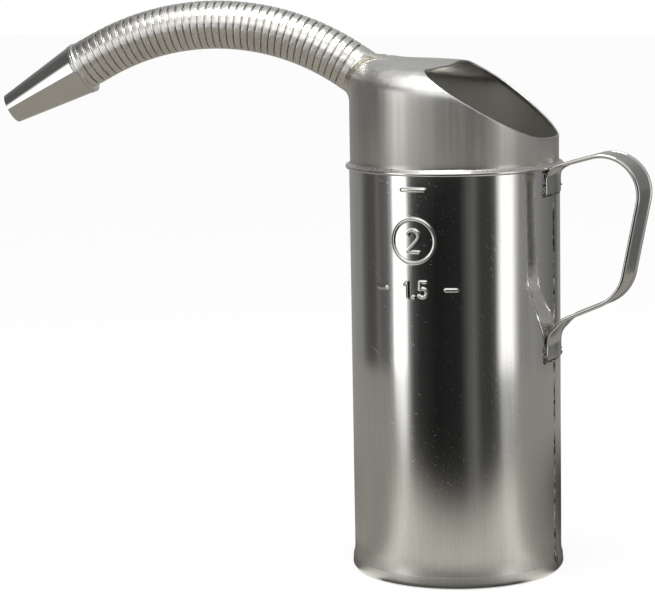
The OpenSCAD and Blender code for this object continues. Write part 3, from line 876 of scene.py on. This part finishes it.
def ferrule_sleeve(material):
    """The smooth sleeve between the hood and the first turn, with its hook inside."""
    back = -PLAY / 2 - FERRULE_SHOW - FERRULE_IN
    front = -PLAY / 2
    wall = front - STRIP
    bed = BED_END - BAND
    outline = rounded(
        [(HOSE_R, back), (HOSE_R, front), (BED_R, front), (BED_R, front + bed - STRIP),
         (BED_HOOK, front + bed - STRIP), (BED_HOOK, front + bed), (BORE, front + bed), (BORE, wall),
         (BAND_IN, wall), (BAND_IN, back)],
        [0.1, 0.25, 0.1, 0.1, 0.1, 0.1, 0.1, 0.1, 0.1, 0.1], 3)
    points, faces = lathe(outline, 128)
    obj = new_object("ferrule_sleeve", points, faces)
    obj.data.materials.append(material)
    sharpen(obj, 50)
    return placed(obj, GROOVE, hose_axes(0))


def ferrule_solder(material):
    """Heaped solder in the corner between the ferrule and the hood."""
    count, rows = 220, 16
    axes = hose_axes(0)
    a = np.arange(count) * 2 * math.pi / count
    upper = 0.5 - 0.5 * np.cos(a)

    def hood_under(radius):
        """Where a line along the spout at this radius meets the hood."""
        start = GROOVE + radius[:, None] * (np.cos(a)[:, None] * axes[:, 0] + np.sin(a)[:, None] * axes[:, 1])
        near, far = np.full(count, 30.0), np.full(count, -60.0)
        for _ in range(40):
            mid = (near + far) / 2
            p = start + mid[:, None] * axes[:, 2]
            inside = outside_hood(turned(p, -MOUTH_TURN)) < 0
            far, near = np.where(inside, mid, far), np.where(inside, near, mid)
        return start + near[:, None] * axes[:, 2]

    ones = np.ones(count)
    spots = np.stack([8 * np.cos(a), 8 * np.sin(a), 0 * a], -1)
    ragged = wobble(spots, 8, 51)
    inner_r = HOSE_R + 0.05
    width = 4.2 + 1.3 * upper + 0.7 * ragged
    climb = 2.4 + 1.6 * upper + 0.5 * wobble(spots, 7, 52)
    corner = hood_under(inner_r * ones)
    low = hood_under(inner_r + width)
    high = corner + climb[:, None] * axes[:, 2]
    layers = []
    for t in np.linspace(0, 1, rows):
        bulge = 0.55
        p = (1 - t) ** 2 * high + 2 * t * (1 - t) * (corner * bulge + (high + low) / 2 * (1 - bulge)) + t ** 2 * low
        lumps = 0.45 * wobble(p, 7.5, 53) + 0.16 * wobble(p, 3.0, 54)
        out = unit(axes[:, 2] * 0.5) + (p - GROOVE) * 0
        out = p - (GROOVE + ((p - GROOVE) @ axes[:, 2])[:, None] * axes[:, 2])
        out /= np.linalg.norm(out, axis=1, keepdims=True)
        out = out + axes[:, 2] * 0.6
        layers.append(p + out * (lumps * (0.25 + 0.75 * upper) * math.sin(math.pi * t) ** 0.5)[:, None])
    layers.append(low - hood_normal(turned(low, -MOUTH_TURN)) @ turn_matrix(MOUTH_TURN) * 0.3)
    layers.append(corner - axes[:, 2] * 0.8)
    obj = new_object("ferrule_solder", np.vstack(layers), grid_faces(len(layers), count, True, True))
    obj.data.materials.append(material)
    return obj


def turn_matrix(angle):
    c, s = math.cos(math.radians(angle)), math.sin(math.radians(angle))
    return np.array([[c, s, 0], [-s, c, 0], [0, 0, 1]])


def flange_ring(material):
    """End of the hose: the last band and the flange that carries the nozzle."""
    low = PITCH - FLANGE_W
    outline = rounded(
        [(HOSE_R, 0), (HOSE_R, low), (FLANGE_R, low), (FLANGE_R, PITCH), (BORE, PITCH), (BORE, PITCH - FLANGE_T),
         (BAND_IN, PITCH - FLANGE_T), (BAND_IN, STRIP), (HOOK_IN, STRIP), (HOOK_IN, 0)],
        [0.22, 0.25, 0.6, 0.7, 0.1, 0.1, 0.1, 0.1, 0.1, 0.1], 7)
    points, faces = lathe(outline, 128)
    radius = np.hypot(points[:, 0], points[:, 1])
    points[:, 0] += NOZZLE_DROP * np.clip((radius - HOSE_R) / (FLANGE_R - HOSE_R - 0.6), 0, 1)
    obj = new_object("flange_ring", points, faces)
    obj.data.materials.append(material)
    sharpen(obj, 50)
    return placed(obj, link_origin(TURNS + 1), hose_axes(TURNS + 1))


def nozzle_cone(material):
    """The sheet cone with a curled wide end and a smoothed outlet."""
    w, t = NOZZLE_WIDE, NOZZLE_TIP
    outline = rounded(
        [(w - NOZZLE_T, 0.02), (w - 0.02, 0.02), (w, 1.4), (w - 0.35, 2.0), (t, NOZZLE_LEN),
         (t - NOZZLE_T, NOZZLE_LEN), (w - 0.35 - NOZZLE_T, 2.0)],
        [0.1, 0.25, 0.3, 0.4, 0.22, 0.22, 0.3], 4)
    points, faces = lathe(outline, 160)
    points[:, 0] += NOZZLE_DROP
    points[:, 2] += PITCH
    obj = new_object("nozzle_cone", points, faces)
    obj.data.materials.append(material)
    sharpen(obj, 40)
    return placed(obj, link_origin(TURNS + 1), hose_axes(TURNS + 1))


# Studio

def studio_angle(beta):
    """Place on the surround's ramp of a direction beta to the right of the camera's."""
    return (0.5 + (CAMERA_HEADING + beta) / 360) % 1


def ramp(n, fac, stops):
    """A colour ramp round the surround from (degrees right of the camera, grey or colour)."""
    node = n.add("ShaderNodeValToRGB", {"Fac": fac})
    stops = sorted((studio_angle(b), c) for b, c in stops)
    ends = node.color_ramp.elements
    first, last = stops[0], stops[-1]
    gap = first[0] + 1 - last[0]
    share = (1 - last[0]) / gap
    colours = [np.array(c if hasattr(c, "__len__") else (c, c, c), float) for _, c in stops]
    seam = colours[-1] * (1 - share) + colours[0] * share
    ends[0].position, ends[1].position = 0.0, 1.0
    ends[0].color = ends[1].color = shade(*seam)
    for (place, _), colour in zip(stops, colours):
        ends.new(place).color = shade(*colour)
    return node.outputs["Color"]


CAMERA_PLACE = np.array([481.1, -1161.4, 341.7])
CAMERA_HEADING = math.degrees(math.atan2(CAMERA_PLACE[1], CAMERA_PLACE[0]))
CAMERA_FORWARD = unit(np.array([-0.4276, 0.8910, -0.1524]))
CAMERA_ROLL = -0.01835
LENS = 130.04
SURROUND_R = 640.0

# Painted glow of what stands round the jug, by direction in degrees to the right of the camera's
LOW_BAND = [(-180, (0.36, 0.35, 0.33)), (-140, 0.29), (-121, 0.25), (-112, (0.12, 0.12, 0.10)),
            (-105, 0.08), (-95, (0.10, 0.08, 0.07)), (-90, 0.16), (-84, 0.11), (-76, 0.14), (-70, 0.45),
            (-67, 1.8), (-54, 1.8), (-50, 0.35), (-46, 0.08), (-38, 0.03), (-20, 0.012), (5, 0.02),
            (19, 0.14), (26, 0.05), (36, 0.045), (42, 0.10), (49.5, 1.5), (62, 1.4), (66, 0.7), (71, 0.29),
            (80, 0.26), (90, 0.29), (116, 0.18), (138, 0.12), (150, 0.26)]
MID_BAND = [(-180, 0.42), (-150, 0.36), (-128, 0.20), (-106, 0.11), (-78, 0.11), (-74, 0.5), (-71, 1.5),
            (-54, 1.5), (-49, 0.85), (-30, 0.55), (-14, 0.16), (5, 0.08), (30, 0.07), (42, 0.15), (49, 1.1),
            (62, 1.1), (68, 0.5), (85, 0.28), (120, 0.16), (150, 0.26)]
HIGH_BAND = [(-180, 0.48), (-150, 0.38), (-128, 0.22), (-106, 0.12), (-80, 0.12), (-68, 0.25),
             (-56, 0.55), (-46, 0.9), (-36, 1.5), (-14, 1.5), (10, 1.2), (30, 0.9), (50, 0.65), (75, 0.4), (150, 0.42)]
ZENITH_BAND = [(-180, 0.52), (-120, 0.40), (-96, 0.42), (-78, 1.3), (-46, 1.4), (-32, 0.8), (-12, 0.56), (40, 0.50),
               (120, 0.50)]

# The table close to the jug with painted pools of lamp light, a painted shadow with painted lamp glints right under
# its foot, and in front, where the room shows past its edge
LIT_TABLE_BAND = [(-180, 0.18), (-138, 0.26), (-102, 0.31), (-83, 0.28), (-71, 0.33), (-62, 0.60), (-54, 0.78),
              (-46, 0.66), (-30, 0.55), (26, 0.54), (40, 0.62), (49, 0.76), (56, 0.70), (64, 0.42),
              (75, 0.30), (86, 0.25), (106, 0.18), (132, 0.07), (150, 0.06)]
FOOT_SHADOW_BAND = [(-180, 0.10), (-76, 0.10), (-66, 0.9), (-52, 0.9), (-45, 0.10), (36, 0.07), (46, 0.8), (58, 0.8),
             (68, 0.08)]
FRONT_BAND = [(-180, 0.30), (-76, 0.30), (-70, 0.45), (-65, 1.15), (-56, 1.15), (-50, 0.35), (-46, 0.08),
              (-38, 0.03), (-20, 0.012), (5, 0.02), (19, 0.14), (26, 0.05), (36, 0.045), (44, 0.10),
              (49, 0.42), (66, 0.45), (72, 0.31), (90, 0.30)]
TABLE_FAR = 0.31
PALE_TINT = shade(1.0, 0.97, 0.88)

# A sloping grey glowing card just above what the body mirrors, so that only the pieces above it see its top: painted
# shade in the reflections of the metal above it
SHELF_START = (61.0, 220.5)
SHELF_FALL = 0.099
SHELF_GLOW = shade(0.345, 0.325, 0.29)


def staged_card(name, points, faces, material):
    """A card that only reflections see."""
    obj = new_object(name, points, faces)
    obj.data.materials.append(material)
    obj.visible_camera = obj.visible_diffuse = obj.visible_shadow = False
    obj.visible_transmission = obj.visible_volume_scatter = False


def turned_profile(profile, count=360):
    a = np.radians(np.arange(count) * 360 / count)
    points = np.vstack([np.stack([r * np.cos(a), r * np.sin(a), 0 * a + z], -1) for r, z in profile])
    return points, grid_faces(len(profile), count, wrap_cols=True)


def surround():
    """Glowing cards seen only in the jug's metal, a painted reflection of a lit room: the table, a dark room with two
    tall lamps, a soft box above.
    """
    profile = [(50.0, 0.3), (66.0, 1.0), (SURROUND_R, 1.0), (SURROUND_R, 300.0)]
    for up in range(1, 9):
        t = up / 8 * math.pi / 2
        profile.append((SURROUND_R * math.cos(t) + 0.5, 300 + 560 * math.sin(t)))
    points, faces = turned_profile(profile)
    n = Nodes("surround")
    place = n.add("ShaderNodeSeparateXYZ", {"Vector": n.coords})
    x, y, z = (place.outputs[axis] for axis in "XYZ")
    turn = n.maths("MULTIPLY", n.maths("ARCTAN2", y, x), 1 / (2 * math.pi))
    fac = n.maths("FRACT", n.maths("ADD", turn, 0.5))
    radius = n.maths("SQRT", n.maths("ADD", n.maths("MULTIPLY", x, x), n.maths("MULTIPLY", y, y)))
    low, mid, high = ramp(n, fac, LOW_BAND), ramp(n, fac, MID_BAND), ramp(n, fac, HIGH_BAND)
    # Painted light on the table: pools of lamp light near the jug, and a painted shadow with lamp glints under the
    # foot
    table = n.mix(n.soft_step(radius, 0.20, 0.42), ramp(n, fac, LIT_TABLE_BAND), shade(*[TABLE_FAR] * 3))
    table = n.mix(n.soft_step(radius, 0.066, 0.095), ramp(n, fac, FOOT_SHADOW_BAND), table)
    table = n.mix(1.0, table, PALE_TINT, blend="MULTIPLY")
    front = math.radians(CAMERA_HEADING)
    ahead = n.maths("ADD", n.maths("MULTIPLY", x, math.cos(front)), n.maths("MULTIPLY", y, math.sin(front)))
    table = n.mix(n.soft_step(ahead, 0.13, 0.30), table, ramp(n, fac, FRONT_BAND))
    room = n.mix(n.soft_step(z, 0.15, 0.22), low, mid)
    room = n.mix(n.soft_step(z, 0.40, 0.50), room, high)
    room = n.mix(n.soft_step(z, 0.60, 0.74), room, ramp(n, fac, ZENITH_BAND))
    glow = n.add("ShaderNodeEmission", {"Color": n.mix(n.soft_step(z, 0.0015, 0.006), table, room)})
    n.tree.links.new(glow.outputs["Emission"], n.output.inputs["Surface"])
    staged_card("surround", points, faces, n.material)


def shelf():
    """The sloping card, clear from below."""
    r0, z0 = SHELF_START
    r1 = SURROUND_R - 1
    points, faces = turned_profile([(r0, z0), (r1, z0 - SHELF_FALL * (r1 - r0))])
    n = Nodes("shelf")
    glow = n.add("ShaderNodeEmission", {"Color": SHELF_GLOW})
    clear = n.add("ShaderNodeBsdfTransparent")
    below = n.add("ShaderNodeNewGeometry").outputs["Backfacing"]
    mixed = n.add("ShaderNodeMixShader")
    n.put(below, mixed.inputs[0])
    n.tree.links.new(glow.outputs["Emission"], mixed.inputs[1])
    n.tree.links.new(clear.outputs["BSDF"], mixed.inputs[2])
    n.tree.links.new(mixed.outputs["Shader"], n.output.inputs["Surface"])
    staged_card("shelf", points, faces[:, ::-1], n.material)


def seen_as_background(n):
    """1 for the rays that show the pale background: camera, glossy and transmission."""
    path = n.add("ShaderNodeLightPath")
    seen = n.maths("MAXIMUM", path.outputs["Is Camera Ray"], path.outputs["Is Glossy Ray"])
    return n.maths("MAXIMUM", seen, path.outputs["Is Transmission Ray"])


def floor():
    """A plain pale floor that keeps the jug's shadow."""
    size = 6000.0
    obj = new_object("floor", [(-size, -size, 0), (size, -size, 0), (size, size, 0), (-size, size, 0)], [(0, 1, 2, 3)])
    n = Nodes("floor")
    n.finish(colour=shade(0.86, 0.86, 0.86), roughness=0.9)
    glow = n.add("ShaderNodeEmission", {"Color": shade(1, 1, 1), "Strength": 1.0})
    mixed = n.add("ShaderNodeMixShader")
    n.put(n.maths("MULTIPLY", seen_as_background(n), 0.86), mixed.inputs[0])
    n.tree.links.new(n.shader.outputs["BSDF"], mixed.inputs[1])
    n.tree.links.new(glow.outputs["Emission"], mixed.inputs[2])
    n.tree.links.new(mixed.outputs["Shader"], n.output.inputs["Surface"])
    obj.data.materials.append(n.material)


def world():
    """White where it is seen, and a plain soft light elsewhere."""
    w = bpy.data.worlds.new("studio")
    bpy.context.scene.world = w
    w.use_nodes = True
    tree = w.node_tree
    back = tree.nodes["Background"]
    back.inputs["Color"].default_value = shade(1, 1, 1)
    path = tree.nodes.new("ShaderNodeLightPath")
    seen = tree.nodes.new("ShaderNodeMath")
    seen.operation = "MAXIMUM"
    tree.links.new(path.outputs["Is Camera Ray"], seen.inputs[0])
    tree.links.new(path.outputs["Is Glossy Ray"], seen.inputs[1])
    both = tree.nodes.new("ShaderNodeMath")
    both.operation = "MAXIMUM"
    tree.links.new(seen.outputs[0], both.inputs[0])
    tree.links.new(path.outputs["Is Transmission Ray"], both.inputs[1])
    level = tree.nodes.new("ShaderNodeMapRange")
    level.inputs["To Min"].default_value = 0.9
    level.inputs["To Max"].default_value = 1.0
    tree.links.new(both.outputs[0], level.inputs["Value"])
    tree.links.new(level.outputs["Result"], back.inputs["Strength"])


def lamp(name, place, aim, width, height, power):
    data = bpy.data.lights.new(name, "AREA")
    data.shape = "RECTANGLE"
    data.size, data.size_y, data.energy = width * MM, height * MM, power
    obj = bpy.data.objects.new(name, data)
    bpy.context.scene.collection.objects.link(obj)
    obj.location = Vector(place) * MM
    obj.rotation_euler = (Vector(aim) * MM - obj.location).to_track_quat("-Z", "Y").to_euler()
    return obj


def camera():
    data = bpy.data.cameras.new("camera")
    data.sensor_width = 36.0
    data.lens = LENS
    data.clip_end = 50.0
    obj = bpy.data.objects.new("camera", data)
    bpy.context.scene.collection.objects.link(obj)
    right = unit(np.cross(CAMERA_FORWARD, [0, 0, 1]))
    up = np.cross(right, CAMERA_FORWARD)
    c, s = math.cos(CAMERA_ROLL), math.sin(CAMERA_ROLL)
    axes = np.stack([right * c + up * s, up * c - right * s, -CAMERA_FORWARD], -1)
    obj.matrix_world = matrix_of(CAMERA_PLACE, axes)
    bpy.context.scene.camera = obj


# The jug, piece by piece

bright = bright_tinplate()
grey = grey_tinplate()
hose_metal = wound_strip()
strap_metal = strip_metal("handle_tin", shade(0.70, 0.69, 0.66), shade(0.78, 0.77, 0.75), 0.06, 0.05)
flange_metal = strip_metal("flange_metal", shade(0.76, 0.755, 0.735), shade(0.82, 0.815, 0.79), 0.20, 0.04)
cone_metal = strip_metal("nozzle_tin", shade(0.71, 0.71, 0.69), shade(0.77, 0.765, 0.745), 0.03, 0.02)
pale_solder = solder_metal("solder", shade(0.60, 0.54, 0.40), shade(0.80, 0.78, 0.71), 0.2, 0.38, 0.00008)
lap_solder = solder_metal("lap_solder", shade(0.05, 0.045, 0.035), shade(0.78, 0.77, 0.72), 0.2, 0.5, 0.0003)
smooth_solder = solder_metal("smooth_solder", shade(0.66, 0.65, 0.61), shade(0.74, 0.73, 0.70), 0.22, 0.34, 0.00004)
dark_solder = solder_metal("dark_solder", shade(0.05, 0.045, 0.04), shade(0.40, 0.39, 0.36), 0.3, 0.6, 0.0003)


def fit(obj, body, slot_name, *nodes):
    """Rides a piece on its body, in place of the CAD nodes that it stands for."""
    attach(obj, body)
    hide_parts(*nodes)


fit(body_wall(bright), "jug", "bright_tinplate", "body_shell")
fit(foot_ring(bright), "jug", "bright_tinplate", "base_plate")
fit(seam_solder(lap_solder), "jug", "solder", "side_seam")
fit(hood_skin(grey, hood_lining_painted_light()), "jug", "grey_tinplate", "hood")
fit(hood_joint(smooth_solder), "jug", "solder", "hood_solder")
fit(strap(strap_metal), "jug", "handle_tin", "handle")
fit(foot_solder("upper_foot_solder", up_foot_z, 61, dark_solder), "jug", "dark_solder", "handle_upper_solder")
fit(foot_solder("lower_foot_solder", low_foot_z, 71, dark_solder), "jug", "dark_solder", "handle_lower_solder")
fit(ferrule_sleeve(hose_metal), "jug", "hose_steel", "spout_ferrule")
fit(ferrule_solder(pale_solder), "jug", "solder", "spout_solder")
for number in range(1, TURNS + 1):
    fit(hose_turn(number, hose_metal), f"turn_{number:02d}", "hose_steel", f"turn_{number:02d}")
fit(flange_ring(flange_metal), "nozzle_end", "hose_steel", "end_ring")
fit(nozzle_cone(cone_metal), "nozzle_end", "nozzle_tin", "nozzle")

floor()
surround()
shelf()
world()
lamp("top_lamp", (0, -150, 820), (0, 0, 150), 620, 480, 6.0)
camera()
bpy.context.scene.view_settings.view_transform = "Standard"
